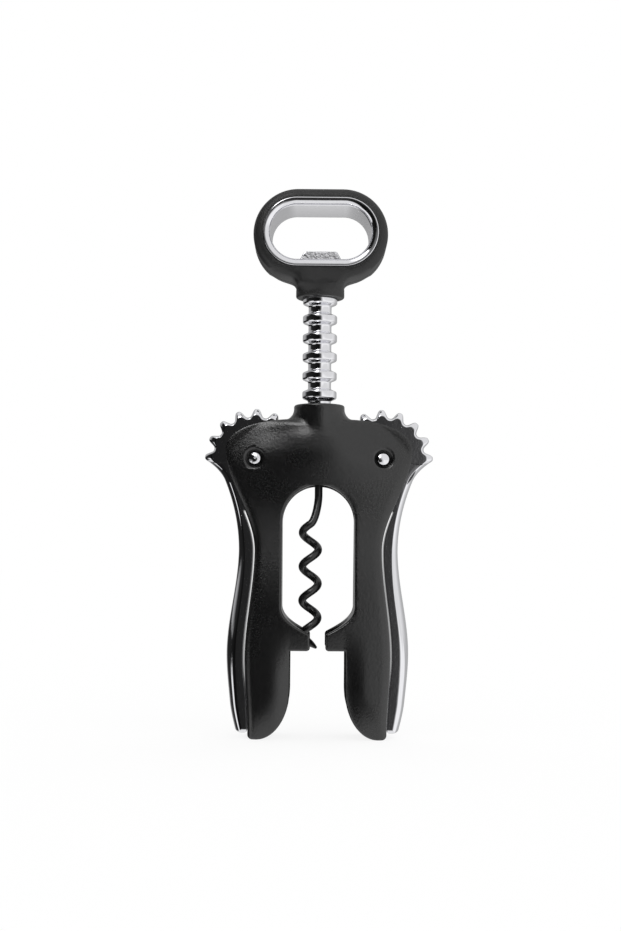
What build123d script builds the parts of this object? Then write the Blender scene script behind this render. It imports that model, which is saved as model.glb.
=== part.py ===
"""Double-lever corkscrew: a two-shell frame, two geared levers, a ringed rack and a worm.

The front faces -Y, +Z runs up the worm's axis and the toes of the legs stand on z = 0.
All sizes are millimetres. The pose is the resting one: rack drawn up, levers down.
"""

import os
from math import asin, atan2, ceil, cos, degrees, hypot, pi, radians, sin, sqrt

from build123d import *

os.makedirs("parts", exist_ok=True)

# Rack and gear mesh
rack_pitch = 6.49
gear_teeth_per_turn = 16
lever_teeth = 10
ring_radius = 5.9
ring_depth = 1.95
ring_land = 2.35
ring_root_land = 4.0
ring_addendum = 0.5
rings_above_mesh = 9
rings_below_mesh = 1
mesh_drop = 0.55
rack_tail = 0.6
rack_tail_chamfer = 0.8

# Gear teeth and hub of a lever
tooth_addendum = 0.67
tooth_depth = 2.8
tooth_root_width = 3.9
tooth_tip_width = 1.9
tooth_tip_round = 0.85
gear_thickness = 7.0
tooth_bevel = 2.5
tooth_crown_width = 2.4
hub_bevel = 0.9
hub_rim_width = 4.4
hub_inset = 2.6
rim_overrun = 13.0

# Lever arm
arm_width = 4.9
arm_bow = 1.9
arm_top_drop = 1.8
arm_step = 4.5
arm_root_draw = 0.45
arm_face_step = 0.3
arm_half_depth = 6.2
arm_tip_height = 1.5
arm_tip_taper = 13.0
arm_tip_width = 1.3
arm_tip_fullness = 0.8
arm_tip_half_depth = 2.2
lever_gap = 1.1

# Frame, front view
pivot_height = 95.4
shoulder_margin = 9.9
shoulder_rise = 3.5
shoulder_corner = 5.6
shoulder_sweep = 13.5
crown_rise = 13.5
collar_rise = 5.2
collar_wall = 0.53
collar_round = 0.8
collar_flare = 4.0
waist_half_width = 21.65
waist_drop = 31.4
leg_half_width = 24.7
leg_height = 27.6
toe_half_width = 23.6
toe_round = 1.6
toe_foot_width = 2.9
toe_sweep_height = 17.3
leg_gap_half_width = 9.3
window_half_width = 12.4
window_arch_drop = 21.4
window_sill_height = 45.2
sill_handle = 4.6
jaw_height = 35.7
jaw_slope = 29.0
jaw_ramp = 4.6
jaw_gap = 5.2
jaw_round = 1.2
shelf_height = 30.2

# Frame, depth
shoulder_half_depth = 7.8
leg_half_depth = 11.8
depth_blend_low = 44.0
depth_blend_drop = 11.4
frame_edge_round = 2.6
window_edge_round = 0.8
bell_radius = 14.75
bell_lead = 1.2
cork_bore_radius = 10.6

# Rack guide
guide_clearance = 0.7
bush_wall = 1.25
bush_flange_drop = 7.0
bush_flange_thickness = 1.5
bush_flange_lip = 0.9
bush_top_gap = 0.6
slide_clearance = 0.12
running_clearance = 0.05

# Pivots
rivet_radius = 2.0
rivet_head_radius = 2.25
rivet_head_rim = 0.35
rivet_head_rise = 0.75
counterbore_radius = 3.15
counterbore_depth = 1.35
rivet_cap_radius = 2.8
rivet_cap_height = 1.0
rivet_cap_round = 0.4
washer_radius = 5.2
washer_thickness = 0.5
gear_tip_clearance = 0.8
seat_clearance = 0.02

# Leg screws
screw_offset = 17.8
screw_height = 21.0
screw_radius = 1.3
screw_clearance = 0.25
screw_bite = 7.0
screw_head_radius = 2.6
screw_head_height = 1.8
screw_head_depth = 6.5
screw_head_clearance = 0.3
screw_drive_radius = 1.25
screw_drive_depth = 1.0

# Worm
wire_radius = 1.35
coil_radius = 2.7
coil_pitch = 11.7
coil_drop = 15.1
coil_start_angle = 290.0
coil_turns = 3.47
neck_bend_rise = 6.6
worm_tip_length = 5.2
worm_tip_radius = 0.12
worm_seat_depth = 9.0
worm_pin_radius = 0.6
worm_pin_inset = 0.4

# Handle
handle_rise = 20.9
grip_half_width = 22.9
grip_half_height = 15.3
grip_half_depth = 8.9
grip_edge_round = 3.0
neck_wall = 2.0
neck_fillet = 2.6
neck_recess = 0.4
neck_barrel = 2.6
neck_spread = 10.0
neck_spread_rise = 4.6
neck_rim_round = 0.7
opener_half_width = 19.6
opener_half_height = 11.6
opener_raise = 0.3
opener_half_depth = 9.6
bead_width = 2.5
bead_roll = 2.1
bead_edge = 0.3
lip_half_width = 5.5
lip_base_half_width = 7.1
lip_height = 2.8
lip_thickness = 3.2
lip_setback = 2.4
stem_radius = 5.4
stem_foot_gap = 1.6
shank_radius = 3.3
shank_length = 7.2
handle_pin_radius = 1.1
handle_pin_rise = 4.0
handle_pin_inset = 0.3

# Travel
stop_gap = 0.6

# Derived sizes of the mesh
quarter_turn = 90
ring_root_radius = ring_radius - ring_depth
rack_pitch_radius = ring_radius - ring_addendum
gear_pitch_radius = gear_teeth_per_turn * rack_pitch / (2 * pi)
tooth_tip_radius = gear_pitch_radius + tooth_addendum
tooth_root_radius = tooth_tip_radius - tooth_depth
tooth_face_radius = tooth_tip_radius - tooth_bevel
hub_face_radius = tooth_root_radius - hub_bevel
hub_radius = tooth_root_radius - hub_inset
tooth_step = 360 / gear_teeth_per_turn
tooth_phase = degrees(asin(mesh_drop / gear_pitch_radius))
pivot_offset = gear_pitch_radius + rack_pitch_radius
gear_half = gear_thickness / 2
arm_root_half_depth = gear_half - arm_face_step
chamber_radius = tooth_tip_radius + gear_tip_clearance
chamber_half = gear_half + washer_thickness + running_clearance
mesh_height = pivot_height - mesh_drop
top_ring_height = mesh_height + (rings_above_mesh - 0.5) * rack_pitch
low_ring_height = mesh_height - (rings_below_mesh - 0.5) * rack_pitch
rack_foot = low_ring_height - ring_root_land / 2 - rack_tail
neck_seat = top_ring_height + ring_land / 2
neck_height = neck_seat - neck_recess

# Derived sizes of the frame
shoulder_half_width = pivot_offset + shoulder_margin
shoulder_height = pivot_height + shoulder_rise
crown_height = pivot_height + crown_rise
collar_height = crown_height + collar_rise
waist_height = pivot_height - waist_drop
depth_blend_high = pivot_height - depth_blend_drop
window_arch_height = pivot_height - window_arch_drop
window_top = window_arch_height + window_half_width
toe_inner = toe_half_width - toe_foot_width
bush_flange_height = collar_height - bush_flange_drop
bush_flange_top = bush_flange_height + bush_flange_thickness
bush_bore_radius = ring_radius + slide_clearance
bush_radius = bush_bore_radius + bush_wall
bush_flange_radius = bush_radius + bush_flange_lip
collar_radius = bush_flange_radius + collar_wall
bush_top = collar_height - bush_top_gap
channel_radius = ring_radius + guide_clearance
rivet_seat = shoulder_half_depth - counterbore_depth
screw_seat = leg_half_depth - screw_head_depth
through = 2 * (leg_half_depth + shoulder_half_width)

# Derived sizes of the worm and of its travel
coil_start_height = rack_foot - coil_drop
travel = neck_height - collar_height - stop_gap
lever_swing = degrees(travel / gear_pitch_radius)

# Derived sizes of the handle
neck_radius = ring_radius + neck_wall
handle_height = neck_height + handle_rise
opener_height = handle_height + opener_raise
stem_foot = neck_height + stem_foot_gap
handle_pin_height = neck_height + handle_pin_rise


def ease(share):
    """Share of a change that is made after a share of the way, starting and ending level."""
    return share * share * (3 - 2 * share)


def outline_half_width(height):
    """Half width of the frame at a height below the shoulders."""
    stations = [
        (shoulder_half_width, shoulder_height),
        (waist_half_width, waist_height),
        (leg_half_width, leg_height),
        (toe_half_width, toe_round),
    ]
    for (upper, top), (lower, bottom) in zip(stations, stations[1:]):
        if height >= bottom:
            return upper + (lower - upper) * ease((top - height) / (top - bottom))
    return toe_half_width


def ease_curve(start, end):
    """Curve in the current sketch that leaves start and meets end straight along the height."""
    third = (end[1] - start[1]) / 3
    return Bezier(start, (start[0], start[1] + third), (end[0], end[1] - third), end)


def looks_sideways(face):
    """Whether a face looks to a side, up or down rather than to the front or back."""
    normal = face.normal_at()
    return 2 * abs(normal.Y) < hypot(normal.X, normal.Z)


def frame_half():
    """Front half of the frame, with the gear chamber, the bores, the window and the leg gap."""
    shoulder = (shoulder_half_width, shoulder_height)
    with BuildPart() as half:
        # Front outline, run past the toes and cut back to them below
        with BuildSketch(Plane.XZ):
            with BuildLine():
                Line((0, crown_height), (collar_radius, crown_height))
                Bezier(
                    (collar_radius, crown_height),
                    (collar_radius + shoulder_sweep, crown_height),
                    (shoulder_half_width, shoulder_height + shoulder_corner),
                    shoulder,
                )
                ease_curve(shoulder, (waist_half_width, waist_height))
                ease_curve((waist_half_width, waist_height), (leg_half_width, leg_height))
                ease_curve((leg_half_width, leg_height), (toe_half_width, toe_round))
                Polyline(
                    (toe_half_width, toe_round),
                    (toe_half_width, -toe_sweep_height),
                    (0, -toe_sweep_height),
                    (0, crown_height),
                )
            make_face()
            mirror(about=Plane.YZ)
        extrude(amount=leg_half_depth)
        # Depth: thin at the shoulders, full at the legs
        with BuildSketch(Plane.YZ.offset(-through / 2)):
            with BuildLine():
                Polyline(
                    (0, crown_height),
                    (0, -toe_sweep_height),
                    (-leg_half_depth, -toe_sweep_height),
                    (-leg_half_depth, depth_blend_low),
                )
                ease_curve((-leg_half_depth, depth_blend_low), (-shoulder_half_depth, depth_blend_high))
                Polyline(
                    (-shoulder_half_depth, depth_blend_high),
                    (-shoulder_half_depth, crown_height),
                    (0, crown_height),
                )
            make_face()
        extrude(amount=through, mode=Mode.INTERSECT)
        outer_rim = half.edges().filter_by_position(Axis.Y, -through, -rivet_seat)
        fillet(outer_rim.filter_by(Axis.X, reverse=True), radius=frame_edge_round)
        # Round collar that carries the rack guide, flared into the shoulders
        with BuildSketch(Plane.XY.offset(depth_blend_high)):
            Circle(collar_radius)
            with Locations((0, collar_radius)):
                Rectangle(4 * collar_radius, 2 * collar_radius, mode=Mode.SUBTRACT)
        extrude(amount=collar_height - depth_blend_high)
        collar_root = half.edges(Select.NEW).filter_by_position(Axis.Z, window_top, collar_height)
        fillet(collar_root, radius=min(collar_flare, collar_rise - collar_round))
        fillet(half.edges().group_by(Axis.Z)[-1].filter_by(GeomType.CIRCLE), radius=collar_round)
        # Window over the worm, with the jaws' sloping tops and the gap between them
        with BuildSketch(Plane.XZ) as window:
            with BuildLine():
                ThreePointArc(
                    (0, window_top),
                    (window_half_width * sin(pi / 4), window_arch_height + window_half_width * cos(pi / 4)),
                    (window_half_width, window_arch_height),
                )
                Line((window_half_width, window_arch_height), (window_half_width, window_sill_height))
                Bezier(
                    (window_half_width, window_sill_height),
                    (window_half_width, window_sill_height - sill_handle),
                    (
                        jaw_gap / 2 + jaw_ramp * cos(radians(jaw_slope)),
                        jaw_height + jaw_ramp * sin(radians(jaw_slope)),
                    ),
                    (jaw_gap / 2, jaw_height),
                )
                Polyline(
                    (jaw_gap / 2, jaw_height),
                    (jaw_gap / 2, shelf_height - jaw_gap),
                    (0, shelf_height - jaw_gap),
                    (0, window_top),
                )
            make_face()
            mirror(about=Plane.YZ)
            slope_middle = (jaw_height + window_sill_height) / 2
            jaw_corners = window.vertices().filter_by_position(Axis.Y, shelf_height, slope_middle)
            fillet(jaw_corners, radius=jaw_round)
        extrude(amount=through, mode=Mode.SUBTRACT)
        # Gap between the legs, swept out to the toes
        with BuildSketch(Plane.XZ):
            with BuildLine():
                Polyline(
                    (0, shelf_height),
                    (leg_gap_half_width, shelf_height),
                    (leg_gap_half_width, toe_sweep_height),
                )
                EllipticalCenterArc(
                    (toe_inner, toe_sweep_height),
                    toe_inner - leg_gap_half_width,
                    toe_sweep_height,
                    start_angle=2 * quarter_turn,
                    arc_size=quarter_turn,
                )
                Line((toe_inner, 0), (toe_half_width - toe_round, 0))
                RadiusArc((toe_half_width - toe_round, 0), (toe_half_width, toe_round), -toe_round)
                Polyline(
                    (toe_half_width, toe_round),
                    (2 * toe_half_width, toe_round),
                    (2 * toe_half_width, -2 * toe_sweep_height),
                    (0, -2 * toe_sweep_height),
                    (0, shelf_height),
                )
            make_face()
            mirror(about=Plane.YZ)
        extrude(amount=through, mode=Mode.SUBTRACT)
        # Lower corners of the jaws, then the front edges of the window, the jaws and the leg gap
        jaw_feet = half.edges().filter_by(Axis.Y).filter_by_position(Axis.X, -jaw_gap, jaw_gap)
        jaw_feet = jaw_feet.filter_by_position(Axis.Z, toe_sweep_height, jaw_height - jaw_round)
        fillet(jaw_feet, radius=jaw_round)
        walls = half.faces().filter_by(looks_sideways)
        walls = walls.filter_by_position(Axis.X, -toe_inner, toe_inner)
        walls = walls.filter_by_position(Axis.Z, 0, window_top)
        inner_rim = walls.edges().filter_by_position(Axis.Y, -through, -rivet_seat)
        fillet(inner_rim, radius=window_edge_round)
        # Chamber for the two gears, open to the window between the plates
        with BuildSketch(Plane.XZ):
            with Locations((pivot_offset, pivot_height), (-pivot_offset, pivot_height)):
                Circle(chamber_radius)
            with Locations((0, window_arch_height)):
                Rectangle(
                    2 * window_half_width,
                    pivot_height - window_arch_height,
                    align=(Align.CENTER, Align.MIN),
                )
        extrude(amount=chamber_half, mode=Mode.SUBTRACT)
        # Channel for the rack and the stepped seat of its guide bush
        with BuildSketch(Plane.XZ):
            Polygon(
                (0, window_arch_height),
                (channel_radius, window_arch_height),
                (channel_radius, bush_flange_height - running_clearance),
                (bush_flange_radius + running_clearance, bush_flange_height - running_clearance),
                (bush_flange_radius + running_clearance, bush_flange_top + running_clearance),
                (bush_radius + running_clearance, bush_flange_top + running_clearance),
                (bush_radius + running_clearance, 2 * collar_height),
                (0, 2 * collar_height),
                align=None,
            )
        revolve(axis=Axis.Z, mode=Mode.SUBTRACT)
        # Bell that fits over a bottle's lip, and the bore that the cork is drawn up through
        with BuildSketch(Plane.XZ):
            Polygon(
                (0, -bell_lead),
                (bell_radius + 2 * bell_lead, -bell_lead),
                (bell_radius, bell_lead),
                (bell_radius, shelf_height),
                (cork_bore_radius, shelf_height),
                (cork_bore_radius, window_sill_height),
                (0, window_sill_height),
                align=None,
            )
        revolve(axis=Axis.Z, mode=Mode.SUBTRACT)
        # Pivot holes, counterbored for the rivet heads
        with BuildSketch(Plane.XZ):
            with Locations((pivot_offset, pivot_height), (-pivot_offset, pivot_height)):
                Circle(rivet_radius + seat_clearance)
        extrude(amount=through, mode=Mode.SUBTRACT)
        with BuildSketch(Plane.XZ.offset(rivet_seat)):
            with Locations((pivot_offset, pivot_height), (-pivot_offset, pivot_height)):
                Circle(counterbore_radius)
        extrude(amount=through, mode=Mode.SUBTRACT)
    return half.part


def screw_places():
    """Both leg screws, in the plane of the front view."""
    return Locations((screw_offset, screw_height), (-screw_offset, screw_height))


# Front shell: the leg screws bite into its blind holes
frame_blank = frame_half()
with BuildPart() as frame_front_shell:
    add(frame_blank)
    with BuildSketch(Plane.XZ):
        with screw_places():
            Circle(screw_radius)
    extrude(amount=screw_bite, mode=Mode.SUBTRACT)
frame_front_shell.part.label = "frame_front_shell"
export_step(frame_front_shell.part, "parts/frame_front_shell.step")

# Back shell: the same half turned round, with clearance holes and deep seats for the screws
with BuildPart() as frame_back_shell:
    add(frame_blank)
    mirror(about=Plane.XZ, mode=Mode.REPLACE)
    with BuildSketch(Plane.XZ):
        with screw_places():
            Circle(screw_radius + screw_clearance)
    extrude(amount=-through, mode=Mode.SUBTRACT)
    with BuildSketch(Plane.XZ.offset(-screw_seat)):
        with screw_places():
            Circle(screw_head_radius + screw_head_clearance)
    extrude(amount=-through, mode=Mode.SUBTRACT)
frame_back_shell.part.label = "frame_back_shell"
export_step(frame_back_shell.part, "parts/frame_back_shell.step")

# Leg screws, driven from behind
for side, sign in (("left", -1), ("right", 1)):
    axis = Axis((sign * screw_offset, 0, screw_height), (0, 1, 0))
    head_top = screw_seat + screw_head_height
    with BuildPart() as leg_screw:
        with BuildSketch(Plane.XY.offset(screw_height)):
            with Locations((sign * screw_offset, 0)):
                Polygon(
                    (0, -screw_bite),
                    (screw_radius, -screw_bite + screw_radius),
                    (screw_radius, screw_seat),
                    (screw_head_radius, screw_seat),
                    (screw_head_radius, head_top - screw_drive_depth / 2),
                    (screw_head_radius - screw_drive_depth / 2, head_top),
                    (0, head_top),
                    align=None,
                )
        revolve(axis=axis)
        with BuildSketch(Plane.XZ.offset(-head_top)):
            with Locations((sign * screw_offset, screw_height)):
                RegularPolygon(screw_drive_radius, 6)
        extrude(amount=screw_drive_depth, mode=Mode.SUBTRACT)
    leg_screw.part.label = f"{side}_leg_screw"
    export_step(leg_screw.part, f"parts/{side}_leg_screw.step")

# Pivot rivets with domed front heads, and the caps pressed on their tails
for side, sign in (("left", -1), ("right", 1)):
    axis = Axis((sign * pivot_offset, 0, pivot_height), (0, 1, 0))
    dome_crown = -rivet_seat - rivet_head_rim - rivet_head_rise
    tail = rivet_seat + rivet_cap_height - rivet_cap_round
    with BuildPart() as pivot_rivet:
        with BuildSketch(Plane.XY.offset(pivot_height)):
            with BuildLine():
                dome_edge = (sign * pivot_offset + rivet_head_radius, -rivet_seat - rivet_head_rim)
                Polyline(
                    (sign * pivot_offset, dome_crown),
                    (sign * pivot_offset, tail),
                    (sign * pivot_offset + rivet_radius, tail),
                    (sign * pivot_offset + rivet_radius, -rivet_seat),
                    (sign * pivot_offset + rivet_head_radius, -rivet_seat),
                    dome_edge,
                )
                TangentArc((sign * pivot_offset, dome_crown), dome_edge, tangent=(1, 0))
            make_face()
        revolve(axis=axis)
    pivot_rivet.part.label = f"{side}_pivot_rivet"
    export_step(pivot_rivet.part, f"parts/{side}_pivot_rivet.step")
    with BuildPart() as rivet_cap:
        with BuildSketch(Plane.XZ.offset(-rivet_seat)):
            with Locations((sign * pivot_offset, pivot_height)):
                Circle(rivet_cap_radius)
                Circle(rivet_radius + seat_clearance, mode=Mode.SUBTRACT)
        extrude(amount=-rivet_cap_height)
        fillet(rivet_cap.edges().group_by(Axis.Y)[-1].sort_by(SortBy.RADIUS)[-1], radius=rivet_cap_round)
    rivet_cap.part.label = f"{side}_rivet_cap"
    export_step(rivet_cap.part, f"parts/{side}_rivet_cap.step")
    for face, away in (("front", 1), ("back", -1)):
        with BuildPart() as lever_washer:
            with BuildSketch(Plane.XZ.offset(away * chamber_half)):
                with Locations((sign * pivot_offset, pivot_height)):
                    Circle(washer_radius)
                    Circle(rivet_radius + seat_clearance, mode=Mode.SUBTRACT)
            extrude(amount=-away * washer_thickness)
        lever_washer.part.label = f"{side}_{face}_washer"
        export_step(lever_washer.part, f"parts/{side}_{face}_washer.step")

# Gear teeth of a lever, bevelled towards both faces
with BuildPart() as teeth:
    with BuildSketch(Plane.XZ) as tooth_ring:
        last_tooth = 180 + tooth_phase + tooth_step
        first_tooth = last_tooth - (lever_teeth - 1) * tooth_step
        tooth_height = tooth_tip_radius - hub_face_radius
        lean = degrees(atan2(tooth_height, (tooth_root_width - tooth_tip_width) / 2))
        with Locations((pivot_offset, pivot_height)):
            with PolarLocations(
                hub_face_radius + tooth_height / 2,
                lever_teeth,
                start_angle=first_tooth,
                angular_range=lever_teeth * tooth_step,
            ):
                Trapezoid(tooth_root_width, tooth_height, lean, rotation=-quarter_turn)
        tips = [
            corner
            for corner in tooth_ring.vertices()
            if hypot(corner.X - pivot_offset, corner.Y - pivot_height) > tooth_root_radius
        ]
        fillet(tips, radius=tooth_tip_round)
    extrude(amount=gear_half, both=True)
    with BuildSketch(Plane.XY.offset(pivot_height)):
        with Locations((pivot_offset, 0)):
            Polygon(
                (0, -gear_half),
                (tooth_face_radius, -gear_half),
                (tooth_tip_radius, -tooth_crown_width / 2),
                (tooth_tip_radius, tooth_crown_width / 2),
                (tooth_face_radius, gear_half),
                (0, gear_half),
                align=None,
            )
    revolve(axis=Axis((pivot_offset, 0, pivot_height), (0, 1, 0)), mode=Mode.INTERSECT)
    # Rim that carries them, cut off past the first and last tooth
    with BuildSketch(Plane.XY.offset(pivot_height)):
        with Locations((pivot_offset, 0)):
            Polygon(
                (0, -gear_half),
                (hub_face_radius, -gear_half),
                (tooth_root_radius, -hub_rim_width / 2),
                (tooth_root_radius, hub_rim_width / 2),
                (hub_face_radius, gear_half),
                (0, gear_half),
                align=None,
            )
    revolve(axis=Axis((pivot_offset, 0, pivot_height), (0, 1, 0)))
    rim_end = radians(last_tooth + rim_overrun)
    rim_start = radians(first_tooth - rim_overrun)
    reach = 2 * tooth_tip_radius
    with BuildSketch(Plane.XZ):
        with Locations((pivot_offset, pivot_height)):
            Polygon(
                (0, 0),
                (reach * cos(rim_end), reach * sin(rim_end)),
                (-reach, -reach),
                (reach, -reach),
                (reach * cos(rim_start), reach * sin(rim_start)),
                align=None,
            )
    extrude(amount=through, both=True, mode=Mode.SUBTRACT)


def arm_fullness(height):
    """Share of its full section that the arm has at a height: all of it above the tip's taper."""
    share = min(1, (height - arm_tip_height) / arm_tip_taper)
    return sin(share * pi / 2) ** arm_tip_fullness


def arm_inner(height):
    """Inner face of the right arm: clear of the leg, then drawn in to the hub inside the chamber."""
    if height <= arm_bend_height:
        return outline_half_width(height) + lever_gap
    return outline_half_width(arm_bend_height) + lever_gap - (height - arm_bend_height) * arm_root_draw


def arm_outer(height):
    """Outermost line of the right arm: even along the leg, bowed out to the hub, rounded off at the tip."""
    if height <= waist_height:
        return arm_inner(height) + arm_tip_width + (arm_width - arm_tip_width) * arm_fullness(height)
    start = arm_inner(waist_height) + arm_width
    end = pivot_offset + sqrt(hub_face_radius**2 - arm_top_drop**2)
    return start + (end - start) * ((height - waist_height) / (arm_top_height - waist_height)) ** 2


def arm_depth(height):
    """Half depth of the arm: thin at the hub, full beside the leg, rounded off at the tip."""
    if height <= leg_height:
        return arm_tip_half_depth + (arm_half_depth - arm_tip_half_depth) * arm_fullness(height)
    share = min(1, (height - leg_height) / (arm_bend_height - leg_height))
    return arm_half_depth + (arm_root_half_depth - arm_half_depth) * ease(share)


# Lever stations from the tip to the hub
arm_bend_height = pivot_height - chamber_radius
arm_top_height = pivot_height - arm_top_drop
arm_breaks = [arm_tip_height, arm_tip_height + arm_tip_taper, waist_height, arm_bend_height, arm_top_height]
arm_stations = [arm_tip_height]
for low, high in zip(arm_breaks, arm_breaks[1:]):
    steps = ceil((high - low) / arm_step)
    arm_stations += [low + (high - low) * step / steps for step in range(1, steps + 1)]

# Right lever: the arm that runs down beside the leg, its hub and the toothed rim
with BuildPart() as right_lever:
    for height in arm_stations:
        half_depth = arm_depth(height)
        inner = arm_inner(height)
        outer = arm_outer(height)
        face_end = outer - min(arm_bow, (outer - inner) / 2)
        with BuildSketch(Plane.XY.offset(height)):
            with BuildLine():
                Polyline(
                    (face_end, -half_depth),
                    (inner, -half_depth),
                    (inner, half_depth),
                    (face_end, half_depth),
                )
                Bezier((face_end, half_depth), (2 * outer - face_end, 0), (face_end, -half_depth))
            make_face()
    loft(ruled=True)
    with BuildSketch(Plane.XY.offset(pivot_height)):
        with Locations((pivot_offset, 0)):
            Rectangle(hub_radius, gear_thickness, align=(Align.MIN, Align.CENTER))
    revolve(axis=Axis((pivot_offset, 0, pivot_height), (0, 1, 0)))
    add(teeth.part)
    with BuildSketch(Plane.XZ.offset(-gear_thickness)):
        with Locations((pivot_offset, pivot_height)):
            Circle(rivet_radius + running_clearance)
    extrude(amount=2 * gear_thickness, mode=Mode.SUBTRACT)
right_lever.part.label = "right_lever"
export_step(right_lever.part, "parts/right_lever.step")

with BuildPart() as left_lever:
    add(right_lever.part)
    mirror(about=Plane.YZ, mode=Mode.REPLACE)
left_lever.part.label = "left_lever"
export_step(left_lever.part, "parts/left_lever.step")

# Guide bush: turns in the collar with the rack, its flange trapped between the shells
with BuildPart() as guide_bush:
    with BuildSketch(Plane.XZ):
        Polygon(
            (bush_bore_radius, bush_flange_height),
            (bush_flange_radius, bush_flange_height),
            (bush_flange_radius, bush_flange_top),
            (bush_radius, bush_flange_top),
            (bush_radius, bush_top),
            (bush_bore_radius, bush_top),
            align=None,
        )
    revolve(axis=Axis.Z)
guide_bush.part.label = "guide_bush"
export_step(guide_bush.part, "parts/guide_bush.step")

# Rack: a turned bar with rings for teeth, a shank above and the worm's socket below
ring_count = rings_above_mesh + rings_below_mesh
ring_heights = [low_ring_height + rack_pitch * ring for ring in range(ring_count)]
ring_corners = []
for height in ring_heights:
    ring_corners += [
        (ring_root_radius, height - ring_root_land / 2),
        (ring_radius, height - ring_land / 2),
        (ring_radius, height + ring_land / 2),
        (ring_root_radius, height + ring_root_land / 2),
    ]
with BuildPart() as rack:
    with BuildSketch(Plane.XZ):
        Polygon(
            (0, rack_foot),
            (ring_root_radius - rack_tail_chamfer, rack_foot),
            (ring_root_radius, rack_foot + rack_tail_chamfer),
            *ring_corners[:-1],
            (shank_radius, neck_seat),
            (shank_radius, neck_seat + shank_length),
            (0, neck_seat + shank_length),
            align=None,
        )
    revolve(axis=Axis.Z)
    with BuildSketch(Plane.XY.offset(rack_foot)):
        Circle(wire_radius + seat_clearance)
    extrude(amount=worm_seat_depth, mode=Mode.SUBTRACT)
    with BuildSketch(Plane.YZ):
        with Locations((0, low_ring_height)):
            Circle(worm_pin_radius)
    extrude(amount=through, both=True, mode=Mode.SUBTRACT)
    with BuildSketch(Plane.YZ):
        with Locations((0, handle_pin_height)):
            Circle(handle_pin_radius)
    extrude(amount=through, both=True, mode=Mode.SUBTRACT)
rack.part.label = "rack"
export_step(rack.part, "parts/rack.step")


def coil_point(angle):
    """Point of the wire's centre line on the coil, at an angle seen from above."""
    return Vector(
        coil_radius * (cos(radians(angle)) - 1),
        coil_radius * sin(radians(angle)),
        coil_start_height + coil_pitch * (angle - coil_start_angle) / 360,
    )


def coil_heading(angle):
    """Direction of the wire going down the coil at an angle."""
    return Vector(
        coil_radius * sin(radians(angle)),
        -coil_radius * cos(radians(angle)),
        -coil_pitch / (2 * pi),
    ).normalized()


def biarc(start, leaving, end, arriving):
    """Two arcs that meet smoothly between two points with given headings."""
    chord = end - start
    both = leaving + arriving
    turn = 2 * (1 - leaving.dot(arriving))
    along = chord.dot(both)
    reach = (sqrt(along**2 + turn * chord.dot(chord)) - along) / turn
    first_corner = start + leaving * reach
    second_corner = end - arriving * reach
    middle = (first_corner + second_corner) * 0.5
    TangentArc(start, middle, tangent=leaving)
    TangentArc(middle, end, tangent=second_corner - first_corner)


# Worm: one wire, straight in the rack, bent over and coiled clear of its own axis, ground to a point
coil_steps = ceil(4 * coil_turns)
coil_angles = [coil_start_angle - 360 * coil_turns * step / coil_steps for step in range(coil_steps + 1)]
shank_top = Vector(0, 0, rack_foot + worm_seat_depth)
bend_top = Vector(0, 0, coil_start_height + neck_bend_rise)
with BuildPart() as worm:
    with BuildLine() as wire_route:
        Line(shank_top, bend_top)
        biarc(bend_top, Vector(0, 0, -1), coil_point(coil_start_angle), coil_heading(coil_start_angle))
        for above, below in zip(coil_angles, coil_angles[1:]):
            biarc(coil_point(above), coil_heading(above), coil_point(below), coil_heading(below))
    with BuildSketch(Plane(origin=shank_top, z_dir=(0, 0, -1))):
        Circle(wire_radius)
    sweep(path=wire_route.line)
    with Locations(Plane(origin=coil_point(coil_angles[-1]), z_dir=coil_heading(coil_angles[-1]))):
        Cone(wire_radius, worm_tip_radius, worm_tip_length, align=(Align.CENTER, Align.CENTER, Align.MIN))
    with BuildSketch(Plane.YZ):
        with Locations((0, low_ring_height)):
            Circle(worm_pin_radius)
    extrude(amount=through, both=True, mode=Mode.SUBTRACT)
worm.part.label = "worm"
export_step(worm.part, "parts/worm.step")
print("worm volume", worm.part.volume, "section by length", pi * wire_radius**2 * wire_route.wire().length)

# Cross pins: one holds the worm in the rack, one holds the rack in the handle
with BuildPart() as worm_pin:
    with BuildSketch(Plane.YZ):
        with Locations((0, low_ring_height)):
            Circle(worm_pin_radius)
    extrude(amount=ring_radius - worm_pin_inset, both=True)
worm_pin.part.label = "worm_pin"
export_step(worm_pin.part, "parts/worm_pin.step")

with BuildPart() as handle_pin:
    with BuildSketch(Plane.YZ):
        with Locations((0, handle_pin_height)):
            Circle(handle_pin_radius)
    extrude(amount=stem_radius - handle_pin_inset, both=True)
handle_pin.part.label = "handle_pin"
export_step(handle_pin.part, "parts/handle_pin.step")

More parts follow.
